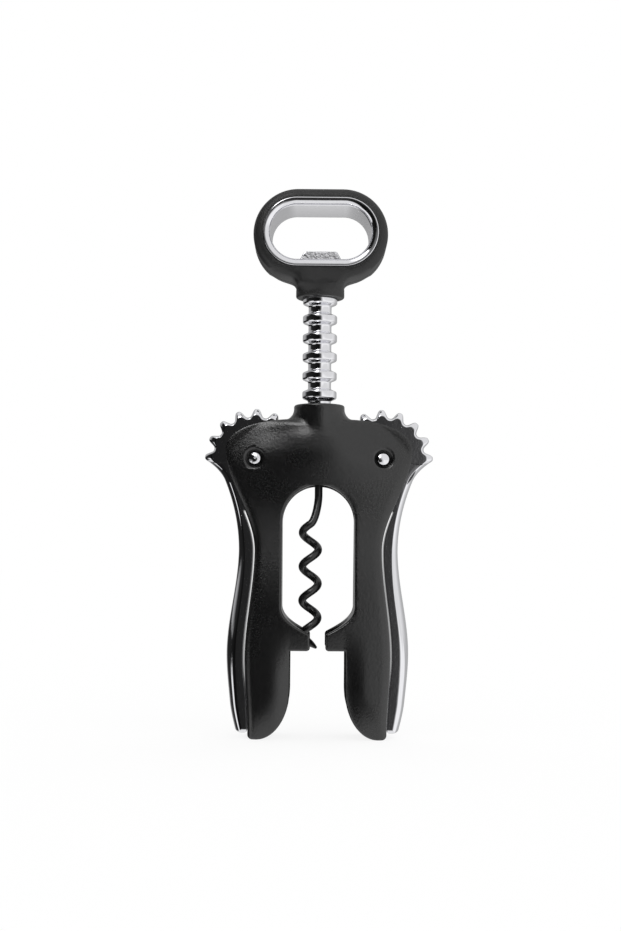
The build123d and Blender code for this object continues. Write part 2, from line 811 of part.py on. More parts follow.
# Opener ring: a rolled bead front and back, the cap-lifting lip and the stem down to the rack
with BuildPart() as opener_ring:
    with BuildSketch(Plane.XZ):
        with Locations((0, opener_height)):
            SlotOverall(2 * opener_half_width, 2 * opener_half_height)
    extrude(amount=opener_half_depth, both=True)
    outer_edges = opener_ring.edges().group_by(Axis.Y)
    fillet(outer_edges[0] + outer_edges[-1], radius=bead_edge)
    with BuildSketch(Plane.XZ):
        with Locations((0, opener_height)):
            SlotOverall(2 * (opener_half_width - bead_width), 2 * (opener_half_height - bead_width))
    extrude(amount=opener_half_depth, both=True, mode=Mode.SUBTRACT)
    rolled_edges = opener_ring.edges(Select.LAST).group_by(Axis.Y)
    fillet(rolled_edges[0] + rolled_edges[-1], radius=bead_roll)
    with BuildSketch(Plane.XZ.offset(opener_half_depth - lip_setback)):
        lip_root = opener_height - opener_half_height + bead_width
        Polygon(
            (-lip_base_half_width, lip_root),
            (-lip_half_width, lip_root + lip_height),
            (lip_half_width, lip_root + lip_height),
            (lip_base_half_width, lip_root),
            (lip_base_half_width, lip_root - bead_width / 2),
            (-lip_base_half_width, lip_root - bead_width / 2),
            align=None,
        )
    extrude(amount=-lip_thickness)
    with BuildSketch(Plane.XY.offset(stem_foot)):
        Circle(stem_radius)
    extrude(amount=lip_root - bead_width / 2 - stem_foot)
    with BuildSketch(Plane.XY.offset(stem_foot)):
        Circle(shank_radius + seat_clearance)
    extrude(amount=neck_seat + shank_length - stem_foot, mode=Mode.SUBTRACT)
    with BuildSketch(Plane.YZ):
        with Locations((0, handle_pin_height)):
            Circle(handle_pin_radius)
    extrude(amount=through, both=True, mode=Mode.SUBTRACT)
opener_ring.part.label = "opener_ring"
export_step(opener_ring.part, "parts/opener_ring.step")

# Grip: two soft halves moulded over the opener ring and its stem
with BuildPart() as grip_front:
    with BuildSketch(Plane.XZ) as grip_outline:
        with Locations((0, handle_height)):
            SlotOverall(2 * grip_half_width, 2 * grip_half_height)
            Rectangle(2 * neck_radius, 2 * handle_rise, align=(Align.CENTER, Align.MAX))
        joins = grip_outline.vertices().group_by(Axis.Y)[1]
        fillet(joins, radius=neck_fillet)
    extrude(amount=grip_half_depth)
    front_rim = grip_front.faces().sort_by(Axis.Y)[0].outer_wire().edges()
    fillet(front_rim.sort_by(Axis.Z)[1:], radius=grip_edge_round)
    # Round neck that spreads into the loop
    barrel_top = neck_height + neck_barrel
    with BuildSketch(Plane.XZ):
        Polygon(
            (0, neck_height),
            (neck_radius, neck_height),
            (neck_radius, barrel_top),
            (neck_radius + neck_spread, barrel_top + neck_spread_rise),
            (through, barrel_top + neck_spread_rise),
            (through, 2 * handle_height),
            (0, 2 * handle_height),
            align=None,
        )
    revolve(axis=Axis.Z, mode=Mode.INTERSECT)
    neck_rim = grip_front.edges().filter_by(GeomType.CIRCLE).group_by(Axis.Z)[0]
    fillet(neck_rim, radius=neck_rim_round)
    with BuildSketch(Plane.XZ):
        with Locations((0, opener_height)):
            SlotOverall(2 * opener_half_width, 2 * opener_half_height)
    extrude(amount=through, mode=Mode.SUBTRACT)
    with BuildSketch(Plane.XZ):
        Polygon(
            (0, neck_height),
            (ring_radius + seat_clearance, neck_height),
            (ring_radius + seat_clearance, neck_seat),
            (shank_radius + seat_clearance, neck_seat),
            (shank_radius + seat_clearance, stem_foot),
            (stem_radius, stem_foot),
            (stem_radius, opener_height),
            (0, opener_height),
            align=None,
        )
    revolve(axis=Axis.Z, mode=Mode.SUBTRACT)
grip_front.part.label = "grip_front"
export_step(grip_front.part, "parts/grip_front.step")

with BuildPart() as grip_back:
    add(grip_front.part)
    mirror(about=Plane.XZ, mode=Mode.REPLACE)
grip_back.part.label = "grip_back"
export_step(grip_back.part, "parts/grip_back.step")

print("rack travel", travel, "lever swing", lever_swing, "pitch radius", gear_pitch_radius)
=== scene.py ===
"""Looks of a double-lever corkscrew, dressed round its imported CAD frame.

Lengths in the shape functions are millimetres and become metres in lay_surface. The front faces -Y.
"""

import bmesh
import bpy
import numpy as np
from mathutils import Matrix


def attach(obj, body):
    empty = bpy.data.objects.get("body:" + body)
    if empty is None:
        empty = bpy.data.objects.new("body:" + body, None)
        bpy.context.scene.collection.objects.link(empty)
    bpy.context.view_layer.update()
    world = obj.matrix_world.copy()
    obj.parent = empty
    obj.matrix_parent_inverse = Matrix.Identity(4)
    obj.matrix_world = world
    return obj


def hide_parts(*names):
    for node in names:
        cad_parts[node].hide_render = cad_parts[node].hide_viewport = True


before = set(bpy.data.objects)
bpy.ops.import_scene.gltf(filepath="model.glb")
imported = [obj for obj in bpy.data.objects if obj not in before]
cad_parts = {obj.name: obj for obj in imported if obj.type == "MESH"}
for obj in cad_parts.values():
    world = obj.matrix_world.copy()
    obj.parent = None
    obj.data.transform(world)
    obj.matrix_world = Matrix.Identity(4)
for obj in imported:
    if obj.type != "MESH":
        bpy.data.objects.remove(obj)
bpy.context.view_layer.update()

MM = 0.001
TAU = 2 * np.pi

# Meshes: merging distances in metres, angles past which an edge stays sharp, and steps round a corner
MERGE_CAD = 1e-6
MERGE_POINTS = 2e-7
MERGE_EDGES = 1e-7
CREASE = 40
FRAME_CREASE = 32
EDGE_STEPS = 7
BEAD_STEPS = 15
ARM_EDGE_STEPS = 9

# Rack and gears
RACK_PITCH = 6.49
RING_COUNT = 10
RING_RADIUS = 5.9
RING_ROOT = 3.95
RING_LAND = 2.35
RING_ROOT_LAND = 4.0
RING_EDGE = 0.5
LOW_RING = 91.605
RACK_FOOT = 89.005
RACK_FOOT_EDGE = 0.15
RACK_COLUMNS = 128
NECK_SEAT = 151.19
SHANK_RADIUS = 3.3
SHANK_TOP = 158.39
PIVOT_X = 21.92665
PIVOT_Z = 95.4
TOOTH_STEP = 22.5
TOOTH_COUNT = 10
FIRST_TOOTH = 1.907
LOBE_SPREAD = 1.55
LOBE_SHARPNESS = 3.0
CREST_ROOT = 14.4
CREST_RISE = 2.78
FACE_ROOT = 13.7
FACE_RISE = 1.3
RIM_OVERRUN = 8.0
RIM_FALL = 5.0
HUB_RADIUS = 11.8
GEAR_HALF = 3.5
HUB_HALF = 3.44
TOOTH_SWELL = 2.3
GEAR_BORE = 2.05
GEAR_COLUMNS = 1440
SWELL_ROWS = 24
SWELL_POWER = 0.8
SPOKE_ROWS = 8
SPOKE_REACH = 0.97

# Lever arm
ARM_WIDTH = 4.9
ARM_BOW = 1.55
ARM_BELLY = 1.2
ARM_BELLY_Z = 43.0
ARM_BELLY_SPREAD = 17.0
ARM_TOP = 95.0
ARM_TOP_RADIUS = 13.4966
ARM_FLARE = 3.2
ARM_FLARE_Z = 88.0
ARM_SWELL = 1.0
ARM_SWELL_Z = 32.0
ARM_SWELL_SPREAD = 22.0
ARM_BEND = 77.4034
ARM_DRAW = 0.45
ARM_ROOT_DEPTH = 3.47
ARM_HALF_DEPTH = 6.2
ARM_TIP = 1.5
ARM_TAPER = 11.0
ARM_TIP_WIDTH = 3.4
ARM_TIP_FULLNESS = 0.8
ARM_TIP_DEPTH = 5.9
ARM_TIP_ROUND = 1.3
ARM_INNER_EDGE = 0.2
ARM_OUTER_EDGE = 0.35
ARM_SOFT_EDGE = 1.25
ARM_SOFT_BAND = (22.0, 46.0)
ARM_CLOSE = 0.4
ARM_CLOSE_BAND = (13.0, 26.0)
LEVER_GAP = 0.65
ARM_ROWS = 170
ARM_TIP_ROWS = 12
ARM_FACE_STEPS = 9
ARM_ARC_STEPS = 20

# Frame: its side line from the shoulder to the toe as half width and height, and its front's swell
SIDE_LINE = ((31.82665, 98.9), (21.65, 64.0), (24.7, 27.6), (23.6, 1.6))
SHOULDER_DEPTH = 7.8
LEG_DEPTH = 11.8
DEPTH_BLEND = (44.0, 84.0)
PLATE_DEPTH = 4.4
FRONT_BEND = 175.0
FALL_START = 91.0
CROWN_TOP = 108.9
CROWN_LIMIT = 1.2
CROWN_POWER = 1.6
SHOULDER_FALL = 2.2
FALL_LIMIT = 0.9
FALL_SPREAD = (4.0, 19.0)
COLLAR_RADIUS = 8.7
BOSS_TOP = 108.5
BOSS_BLEND = 6.0
BOSS_DROP = 12.0
BOSS_BELLY = 0.8
BOSS_FOOT = (78.0, 98.0)
BOSS_WIDTH = (8.0, 17.0)
RIVET_SLIM = 0.85
TOE_INNER = 20.7
LEG_INNER = 9.3
TOE_SWEEP = 17.3
TOE_FALL = 2.0
TOE_START = 0.35
TOE_FADE = (18.0, 40.0)
REFINED_EDGE = 1.5
SLIVER = 0.01
REFINE_ROUNDS = 7

# Handle loop
OPENER_Z = 171.99
OPENER_HALF_WIDTH = 19.6
OPENER_HALF_HEIGHT = 11.6
OPENER_HALF_DEPTH = 9.6
BEAD_WIDTH = 2.5
BEAD_ROLL = 2.1
BEAD_EDGE = 0.3
WALL_TAPER = 0.4
LIP_BASE_HALF = 7.1
LIP_TOP_HALF = 5.5
LIP_FOOT = 161.8
LIP_ROOT = 162.89
LIP_TOP = 165.69
LIP_FRONT = -7.2
LIP_THICKNESS = 3.2
LIP_EDGE = 0.45
LIP_RIM = 1.2
LIP_LEAN = 0.06
LIP_CORNER = 0.5
LIP_ROWS = 6
LOOP_COLUMNS = 320

# Grip
NECK_BAND = (152.6, 159.8)
NECK_INSIDE = 7.0
NECK_WIDEN = 0.05
NECK_ROUNDS = 30
SEAM_REACH = 0.8

# Worm
WIRE_RADIUS = 1.35
COIL_RADIUS = 2.7
COIL_PITCH = 11.7
COIL_START_Z = 73.255
COIL_START = np.radians(270)
COIL_TURNS = 3.414
WORM_TOP = 98.005
NECK_BEND = 9.7
BEND_PULL = 0.62
TIP_LENGTH = 5.2
TIP_RADIUS = 0.45
SHANK_ROWS = 12
BEND_ROWS = 40
COIL_ROWS = 260
TIP_ROWS = 24
WIRE_COLUMNS = 40

# Studio: light levels round the object, then the floor and the camera
BACK_GREY = 0.4
SIDE_GREY = 0.5
FRONT_GREY = 0.25
CARD_BLACK = 0.01
WALL_LIGHT = 1.1
FLOOR_REACH = 3.0
LENS = 53.9
SENSOR_WIDTH = 36
LENS_SHIFT = 0.0902
CLIP_START = 0.01
CAMERA_PLACE = (-2.65, -480, 64.5)
CAMERA_ROLL = -0.0080
WHITE = (1, 1, 1, 1)


class Signal:
    """A node's output that can stand in a sum: each operator adds one Math node to its tree."""

    def __init__(self, tree, socket):
        self.tree = tree
        self.socket = socket

    def math(self, operation, *values):
        return self.tree.node("ShaderNodeMath", {"operation": operation}, dict(enumerate(values)))

    def __add__(self, other):
        return self.math("ADD", self, other)

    def __sub__(self, other):
        return self.math("SUBTRACT", self, other)

    def __rsub__(self, other):
        return self.math("SUBTRACT", other, self)

    def __mul__(self, other):
        return self.math("MULTIPLY", self, other)

    def __truediv__(self, other):
        return self.math("DIVIDE", self, other)

    def __neg__(self):
        return self.math("MULTIPLY", self, -1.0)

    def __abs__(self):
        return self.math("ABSOLUTE", self)

    __radd__ = __add__
    __rmul__ = __mul__

    def rise(self, low, high):
        """0 up to low, 1 from high on, and eased between them."""
        settings = {"interpolation_type": "SMOOTHSTEP"}
        return self.tree.node("ShaderNodeMapRange", settings, {0: self, 1: low, 2: high})

    def ramp(self, *stops):
        """Grey level along stops of (place, level)."""
        return self.tree.node("ShaderNodeValToRGB", {"stops": stops}, {0: self})


class Tree:
    """The nodes of one material or of the world."""

    def __init__(self, node_tree):
        self.nodes = node_tree.nodes
        self.links = node_tree.links
        self.nodes.clear()

    def node(self, kind, settings, sockets, output=0):
        """One node of a kind: its settings first, then the values or links of its sockets."""
        made = self.nodes.new(kind)
        for key, value in settings.items():
            if key == "stops":
                for _ in value[2:]:
                    made.color_ramp.elements.new(0.5)
                for element, (place, level) in zip(made.color_ramp.elements, value):
                    element.position = place
                    element.color = (level, level, level, 1)
            else:
                setattr(made, key, value)
        for key, value in sockets.items():
            if isinstance(value, Signal):
                self.links.new(value.socket, made.inputs[key])
            else:
                made.inputs[key].default_value = value
        return Signal(self, made.outputs[output]) if made.outputs else None

    def blend(self, share, first, second):
        """Colour that goes from first to second as share goes from 0 to 1."""
        return self.node("ShaderNodeMix", {"data_type": "RGBA"}, {0: share, 6: first, 7: second}, 2)

    def place(self, scale=(1, 1, 1)):
        """Object coordinates in millimetres, stretched by a scale."""
        spot = self.node("ShaderNodeTexCoord", {}, {}, 3)
        size = tuple(value / MM for value in scale)
        return self.node("ShaderNodeMapping", {}, {"Vector": spot, "Scale": size})

    def along(self, spot, axis):
        """One coordinate of a place: 0 for X, 1 for Y, 2 for Z."""
        return self.node("ShaderNodeSeparateXYZ", {}, {0: spot}, axis)

    def noise(self, spot, scale, detail=2.0, roughness=0.5):
        """Level of a noise with about scale lumps a millimetre."""
        sockets = {"Vector": spot, "Scale": scale, "Detail": detail, "Roughness": roughness}
        return self.node("ShaderNodeTexNoise", {}, sockets)

    def bump(self, height, strength=1.0):
        """Normal of a surface raised by a height in millimetres."""
        sockets = {"Height": height, "Distance": MM, "Strength": strength}
        return self.node("ShaderNodeBump", {}, sockets)


def grey(level):
    """Neutral colour of a level."""
    return (level, level, level * 1.03, 1)


def new_finish(name):
    """An empty material and its tree."""
    material = bpy.data.materials.new(name)
    material.use_nodes = True
    return material, Tree(material.node_tree)


def close_finish(tree, sockets):
    """Joins a Principled shader with these sockets to the material's output."""
    shader = tree.node("ShaderNodeBsdfPrincipled", {}, sockets)
    tree.node("ShaderNodeOutputMaterial", {}, {"Surface": shader})


def parting_line(tree, spot):
    """Level that dips to 0 in the fine groove where the two halves meet, at y = 0."""
    return abs(tree.along(spot, 1)).rise(0.03, 0.2)


def grained_plastic():
    """Black moulded plastic with a spark-eroded grain that glints where its facets turn."""
    material, tree = new_finish("body_plastic")
    spot = tree.place()
    grain = tree.noise(spot, 1.25, 3.0, 0.65)
    fine = tree.noise(spot, 3.2, 1.0)
    clouds = tree.noise(spot, 0.07, 3.0)
    base = tree.blend(grain.rise(0.4, 0.65), grey(0.0025), grey(0.0065))
    height = grain * 0.11 + fine * 0.012 + parting_line(tree, spot) * 0.12
    sockets = {
        "Base Color": base,
        "Roughness": 0.25 - grain.rise(0.5, 0.75) * 0.06 + clouds * 0.04,
        "Specular IOR Level": 0.78,
        "Normal": tree.bump(height, 0.7),
    }
    close_finish(tree, sockets)
    return material


def satin_rubber():
    """Black soft grip, finer and more even than the body."""
    material, tree = new_finish("grip_rubber")
    spot = tree.place()
    grain = tree.noise(spot, 2.6, 2.0, 0.55)
    wear = tree.noise(spot, 0.12, 3.0)
    base = tree.blend(wear.rise(0.3, 0.75), grey(0.0065), grey(0.0115))
    height = grain * 0.022 + parting_line(tree, spot) * 0.14
    sockets = {
        "Base Color": base,
        "Roughness": 0.44 + wear * 0.12,
        "Specular IOR Level": 0.55,
        "Normal": tree.bump(height, 0.8),
    }
    close_finish(tree, sockets)
    return material


def chrome_plate(name, dents=0.018, haze_depth=0.07, satin_depth=None, pit_scale=1.1):
    """Bright chrome, faintly wavy from polishing, with dents as deep as given and about pit_scale of them a
    millimetre, and a haze that roughens it; satin where it lies within satin_depth of y = 0."""
    material, tree = new_finish(name)
    spot = tree.place()
    waves = tree.noise(spot, 0.22, 2.0)
    pits = tree.noise(spot, pit_scale, 2.0)
    haze = tree.noise(tree.place((1, 1, 0.08)), 1.6, 4.0, 0.65)
    rough = 0.05 + haze.rise(0.45, 0.8) * haze_depth
    if satin_depth:
        inside = 1 - abs(tree.along(spot, 1)).rise(satin_depth - 0.5, satin_depth)
        rough = rough + inside * 0.16
    base = tree.blend(haze.rise(0.4, 0.85), grey(0.86), grey(0.80))
    sockets = {
        "Base Color": base,
        "Metallic": 1.0,
        "Roughness": rough,
        "Normal": tree.bump(waves * 0.05 + pits * dents, 0.35),
    }
    close_finish(tree, sockets)
    return material


def coated_wire():
    """Black slippery coating on the worm, a little uneven along the wire."""
    material, tree = new_finish("coated_wire")
    spot = tree.place()
    runs = tree.noise(spot, 0.8, 3.0)
    orange_peel = tree.noise(spot, 2.6, 2.0)
    base = tree.blend(runs.rise(0.35, 0.7), grey(0.006), grey(0.014))
    sockets = {
        "Base Color": base,
        "Roughness": 0.22 + runs * 0.16,
        "Specular IOR Level": 0.6,
        "Normal": tree.bump(orange_peel * 0.04, 0.6),
    }
    close_finish(tree, sockets)
    return material


def plain_steel():
    """Turned bright steel of the washers, pins and screws."""
    material, tree = new_finish("plain_steel")
    spot = tree.place()
    turning = tree.noise(tree.place((0.3, 6, 0.3)), 2.2, 3.0)
    cloud = tree.noise(spot, 0.5, 2.0)
    base = tree.blend(cloud, (0.52, 0.52, 0.53, 1), (0.62, 0.61, 0.60, 1))
    sockets = {
        "Base Color": base,
        "Metallic": 1.0,
        "Roughness": 0.24 + turning * 0.16,
        "Normal": tree.bump(turning * 0.01, 0.5),
    }
    close_finish(tree, sockets)
    return material


def guide_nylon():
    """Black nylon of the guide bush, slightly rubbed."""
    material, tree = new_finish("guide_nylon")
    spot = tree.place()
    rubbed = tree.noise(tree.place((1, 1, 0.3)), 1.4, 3.0)
    base = tree.blend(rubbed, grey(0.014), grey(0.026))
    sockets = {
        "Base Color": base,
        "Roughness": 0.42 + rubbed * 0.2,
        "Normal": tree.bump(tree.noise(spot, 4.0) * 0.012, 0.6),
    }
    close_finish(tree, sockets)
    return material


def smoothed(name, mesh, crease):
    """Object with a mesh: doubles merged, faces turned outwards and edges past crease kept sharp."""
    shell = bmesh.new()
    shell.from_mesh(mesh)
    bmesh.ops.remove_doubles(shell, verts=shell.verts, dist=MERGE_POINTS)
    bmesh.ops.dissolve_degenerate(shell, edges=shell.edges, dist=MERGE_EDGES)
    bmesh.ops.recalc_face_normals(shell, faces=shell.faces)
    shell.to_mesh(mesh)
    shell.free()
    mesh.polygons.foreach_set("use_smooth", np.ones(len(mesh.polygons), bool))
    mesh.set_sharp_from_angle(angle=np.radians(crease))
    made = bpy.data.objects.new(name, mesh)
    bpy.context.scene.collection.objects.link(made)
    return made


def settle(piece, body, node, material):
    """Dresses a piece, joins it to its body and lets it stand for a node."""
    piece.data.materials.clear()
    piece.data.materials.append(material)
    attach(piece, body)
    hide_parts(node)


def lay_surface(name, grids, body, node, material):
    """Piece that stands for a node, from grids of (points by row and column, rows close, columns close)."""
    corners, quads, start = [], [], 0
    for points, rows_close, columns_close in grids:
        rows, columns = points.shape[:2]
        row = np.arange(rows if rows_close else rows - 1)[:, None]
        column = np.arange(columns if columns_close else columns - 1)[None, :]
        next_row = (row + 1) % rows * columns
        next_column = (column + 1) % columns
        row = row * columns
        square = (row + column, row + next_column, next_row + next_column, next_row + column)
        quads.append(start + np.stack(square, -1).reshape(-1, 4))
        corners.append(points.reshape(-1, 3) * MM)
        start += rows * columns
    mesh = bpy.data.meshes.new(name)
    mesh.from_pydata(np.concatenate(corners), [], np.concatenate(quads).tolist())
    settle(smoothed(name, mesh, CREASE), body, node, material)


def ease(share):
    """Share of a change that is made after a share of the way, starting and ending level."""
    share = np.clip(share, 0, 1)
    return share * share * (3 - 2 * share)


def turn_slivers(shell):
    """Turns the long side of each triangle that is flatter than SLIVER."""
    long_sides = [(face, max(face.edges, key=bmesh.types.BMEdge.calc_length)) for face in shell.faces]
    flat = SLIVER * MM / 2
    slivers = [side for face, side in long_sides if face.calc_area() < flat * side.calc_length()]
    bmesh.ops.rotate_edges(shell, edges=list(dict.fromkeys(slivers)))


def refined(node):
    """Copy of a node's mesh, merged, rid of slivers and cut until its edges are short."""
    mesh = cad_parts[node].data.copy()
    shell = bmesh.new()
    shell.from_mesh(mesh)
    bmesh.ops.remove_doubles(shell, verts=shell.verts, dist=MERGE_CAD)
    for _ in range(REFINE_ROUNDS):
        turn_slivers(shell)
        long_edges = [edge for edge in shell.edges if edge.calc_length() > REFINED_EDGE * MM]
        bmesh.ops.subdivide_edges(shell, edges=long_edges, cuts=1)
        bmesh.ops.triangulate(shell, faces=shell.faces)
    turn_slivers(shell)
    shell.to_mesh(mesh)
    shell.free()
    return mesh


def mesh_spots(mesh):
    """A mesh's points in millimetres, one row each."""
    spots = np.empty(3 * len(mesh.vertices))
    mesh.vertices.foreach_get("co", spots)
    return spots.reshape(-1, 3) / MM


def frame_depth(z):
    """Half depth of the frame: full at the legs, thin at the shoulders."""
    low, high = DEPTH_BLEND
    return LEG_DEPTH + (SHOULDER_DEPTH - LEG_DEPTH) * ease((z - low) / (high - low))


def front_fall(x, z):
    """How far the frame's front lies behind its flat: x^2 / (2 bend) across, a fall towards the crown
    beside the collar, and a fall towards the leg's inner edge and the toe's sweep, an ellipse."""
    x = np.abs(x)
    across = x**2 / (2 * FRONT_BEND)
    climb = np.clip((z - FALL_START) / (CROWN_TOP - FALL_START), 0, CROWN_LIMIT) ** CROWN_POWER
    beside = ease((x - FALL_SPREAD[0]) / (FALL_SPREAD[1] - FALL_SPREAD[0]))
    crown = SHOULDER_FALL * climb * beside
    in_leg = np.clip((TOE_INNER - x) / (TOE_INNER - LEG_INNER), 0, 1)
    in_toe = np.clip((TOE_SWEEP - z) / TOE_SWEEP, 0, 1)
    near_edge = np.clip((np.hypot(in_leg, in_toe) - TOE_START) / (1 - TOE_START), 0, 1)
    fade = 1 - ease((z - TOE_FADE[0]) / (TOE_FADE[1] - TOE_FADE[0]))
    return across + crown + TOE_FALL * near_edge**2 * fade


def boss_swell(x, z):
    """How far the front swells forward under the collar: a bell curve over x that starts as high as
    the collar stands out, grows and widens downwards from the crown, and dies out above the window."""
    drop = ease((BOSS_TOP - z) / BOSS_DROP)
    width = BOSS_WIDTH[0] + (BOSS_WIDTH[1] - BOSS_WIDTH[0]) * drop
    height = COLLAR_RADIUS - SHOULDER_DEPTH + BOSS_BELLY * drop
    foot = ease((z - BOSS_FOOT[0]) / (BOSS_FOOT[1] - BOSS_FOOT[0]))
    return height * foot * np.exp(-((x / width) ** 2))


def swell_frame(node, material, slim=1.0):
    """Copy of a frame node, cut into small faces, with its front and back drawn in by front_fall.

    Depths up to the gear chamber's plates stay, and the draw grows evenly from there to the surface.
    Below the crown boss_swell takes the place of the collar's boss. The front is slimmed about the
    pivot, which is for the rivets' heads.
    """
    mesh = refined(node)
    spots = mesh_spots(mesh)
    x, y, z = spots.T
    room = frame_depth(z) - PLATE_DEPTH
    share = np.clip((np.abs(y) - PLATE_DEPTH) / room, 0, 1)
    fall = np.minimum(front_fall(x, z), FALL_LIMIT * room) * share
    boss = np.where(np.abs(x) < COLLAR_RADIUS, np.maximum(np.abs(y) - frame_depth(z), 0), 0)
    fade = ease((BOSS_TOP - z) / BOSS_BLEND)
    slim = np.where(y < -PLATE_DEPTH, slim, 1.0)
    pivot = np.sign(x) * PIVOT_X
    spots[:, 0] = pivot + (x - pivot) * slim
    spots[:, 1] = y - np.sign(y) * (fall + (boss - boss_swell(x, z) * share) * fade)
    spots[:, 2] = PIVOT_Z + (z - PIVOT_Z) * slim
    mesh.vertices.foreach_set("co", (spots * MM).ravel())
    settle(smoothed(f"{node}_skin", mesh, FRAME_CREASE), "frame", node, material)


def corner(at, back, ahead, reach, count):
    """Parabola round each corner at: with s = at + back * reach and e = at + ahead * reach it is
    (1 - t)^2 s + 2 t (1 - t) at + t^2 e, so it leaves along one side and arrives along the next."""
    t = np.linspace(0, 1, count)[None, :, None]
    start = (at + back * reach)[:, None]
    end = (at + ahead * reach)[:, None]
    return (1 - t) ** 2 * start + 2 * t * (1 - t) * at[:, None] + t**2 * end


def eased_corners(outline, reach, count):
    """Open outline with each inner corner cut to a parabola that starts and ends at reach from it."""
    before, at, after = outline[:-2], outline[1:-1], outline[2:]
    back, ahead = before - at, after - at
    back /= np.linalg.norm(back, axis=1, keepdims=True)
    ahead /= np.linalg.norm(ahead, axis=1, keepdims=True)
    reach = np.broadcast_to(reach, len(at))[:, None]
    curve = corner(at, back, ahead, reach, count)
    return np.concatenate([outline[:1], curve.reshape(-1, 2), outline[-1:]])


def spun(profile, columns):
    """Profile of (radius, height) carried round the Z axis: (r cos a, r sin a, h)."""
    angle = np.linspace(0, TAU, columns, endpoint=False)[None, :]
    radius, height = profile[:, :1], profile[:, 1:]
    flat = np.ones_like(angle)
    return np.stack([radius * np.cos(angle), radius * np.sin(angle), height * flat], -1)


def rack_surface():
    """Turned bar: the rings' profile with softened edges, spun about the axis and closed at its ends."""
    heights = LOW_RING + RACK_PITCH * np.arange(RING_COUNT)[:, None]
    places = heights + np.array([-RING_ROOT_LAND, -RING_LAND, RING_LAND, RING_ROOT_LAND]) / 2
    radii = np.broadcast_to([RING_ROOT, RING_RADIUS, RING_RADIUS, RING_ROOT], places.shape)
    rings = np.stack([radii.ravel(), places.ravel()], 1)[:-1]
    foot = np.array([[0, RACK_FOOT], [RING_ROOT, RACK_FOOT]])
    head = np.array([[SHANK_RADIUS, NECK_SEAT], [SHANK_RADIUS, SHANK_TOP], [0, SHANK_TOP]])
    outline = np.concatenate([foot, rings, head])
    reach = np.full(len(outline) - 2, RING_EDGE)
    reach[0] = RACK_FOOT_EDGE
    return [(spun(eased_corners(outline, reach, EDGE_STEPS), RACK_COLUMNS), False, True)]


def gear_surface(sign):
    """Toothed rim and hub of a lever.

    Round the pivot, lobes w = exp(-(s / spread) ^ sharpness), with s the distance along the rim from the
    nearest tooth, raise the face's edge and the crest, and past the toothed rim both fall to the hub.
    Across the thickness the radius swells from the face's edge to the crest as a power of a sine.
    """
    angle = np.linspace(0, TAU, GEAR_COLUMNS, endpoint=False)[None, :]
    step = np.radians(TOOTH_STEP)
    turn = (angle - np.radians(FIRST_TOOTH) + step) % TAU - step
    nearest = np.clip(np.round(turn / step), 0, TOOTH_COUNT - 1)
    off = np.minimum(np.abs(turn - nearest * step), np.abs(turn - TAU))
    lobe = np.exp(-((off * CREST_ROOT / LOBE_SPREAD) ** LOBE_SHARPNESS))
    past = np.maximum(-turn, turn - (TOOTH_COUNT - 1) * step)
    past = np.minimum(past, np.abs(turn - TAU))
    rim = 1 - ease((np.degrees(past) - RIM_OVERRUN) / RIM_FALL)
    face = HUB_RADIUS + (FACE_ROOT + FACE_RISE * lobe - HUB_RADIUS) * rim
    crest = HUB_RADIUS + (CREST_ROOT + CREST_RISE * lobe - HUB_RADIUS) * rim
    half = HUB_HALF + (GEAR_HALF - HUB_HALF) * rim
    inward = TOOTH_SWELL * np.linspace(0, 1, SWELL_ROWS)[:, None] ** 2
    swell = np.sin(np.pi / 2 * inward / TOOTH_SWELL) ** SWELL_POWER
    side = face + (crest - face) * swell
    spokes = np.linspace(0, SPOKE_REACH, SPOKE_ROWS)[:, None]
    flat = GEAR_BORE + (face - GEAR_BORE) * spokes
    radius = np.concatenate([flat, side, side[::-1], flat[::-1]])
    front = np.concatenate([0 * flat - half, inward - half])
    depth = np.concatenate([front, -front[::-1]])
    x = sign * (PIVOT_X + radius * np.cos(angle))
    return [(np.stack([x, depth, PIVOT_Z + radius * np.sin(angle)], -1), True, True)]


def side_half_width(height):
    """Half width of the frame at heights below the shoulder: eased from station to station."""
    result = np.full_like(height, SIDE_LINE[-1][0])
    for (upper, top), (lower, bottom) in zip(SIDE_LINE, SIDE_LINE[1:]):
        inside = (height <= top) & (height >= bottom)
        eased = upper + (lower - upper) * ease((top - height) / (top - bottom))
        result = np.where(inside, eased, result)
    return result


